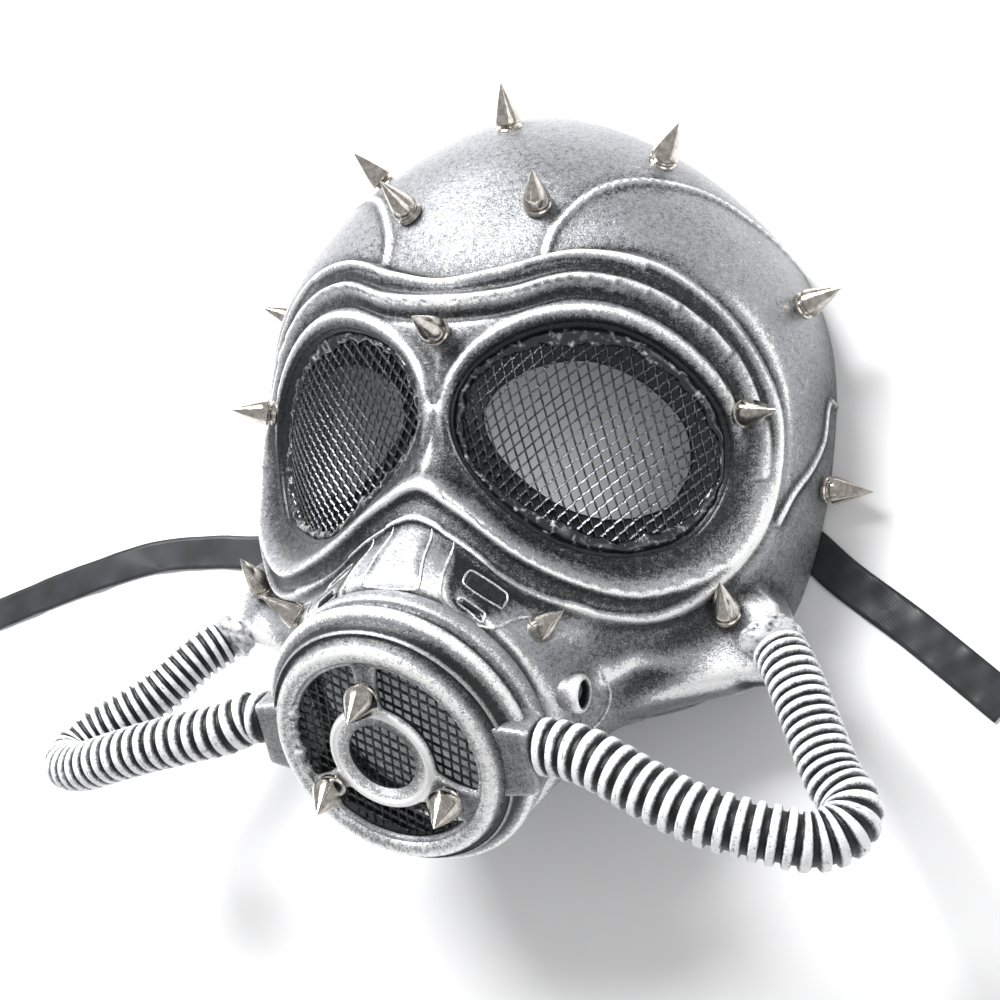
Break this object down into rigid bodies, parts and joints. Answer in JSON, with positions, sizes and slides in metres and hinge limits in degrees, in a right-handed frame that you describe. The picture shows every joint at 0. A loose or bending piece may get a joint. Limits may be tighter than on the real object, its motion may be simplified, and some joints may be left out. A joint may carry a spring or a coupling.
{
  "type": "gas mask style costume mask",
  "caption": "Moulded costume mask with goggle frame, netted eyes, filter canister, ribbed side hoses, cone studs and ribbon ties.",
  "frame": {"origin": "middle of the footprint of all but the loose ribbons, on the surface that the shell's back edge lies on", "axes": "+Z out of the face, away from the back edge; +Y from the snout to the forehead; +X to the wearer's left"},
  "size_m": [0.4162, 0.2538, 0.1138],
  "materials": {
    "shell": "black plastic dry-brushed with antique silver",
    "net": "black expanded metal",
    "hose": "black ribbed hose with silver brushed ribs",
    "glue": "hot glue brushed with silver",
    "ribbon": "satin",
    "stud": "polished nickel"
  },
  "bodies": {
    "root": {"filter_canister": "shell", "filter_net": "net", "glue_plug_left": "glue", "glue_plug_right": "glue", "hose_left": "hose", "hose_right": "hose", "lens_net_left": "net", "lens_net_right": "net", "mask_shell": "shell", "ribbon_left": "ribbon", "ribbon_right": "ribbon", "stud_bridge": "stud", "stud_cheek_left": "stud", "stud_cheek_right": "stud", "stud_crown_left": "stud", "stud_crown_right": "stud", "stud_forehead_left": "stud", "stud_forehead_right": "stud", "stud_forehead_top": "stud", "stud_goggle_left": "stud", "stud_goggle_right": "stud", "stud_grille_left": "stud", "stud_grille_right": "stud", "stud_grille_top": "stud", "stud_jaw_left": "stud", "stud_jaw_right": "stud", "stud_temple_lower_left": "stud", "stud_temple_lower_right": "stud", "stud_temple_upper_left": "stud", "stud_temple_upper_right": "stud"}
  },
  "joints": []
}
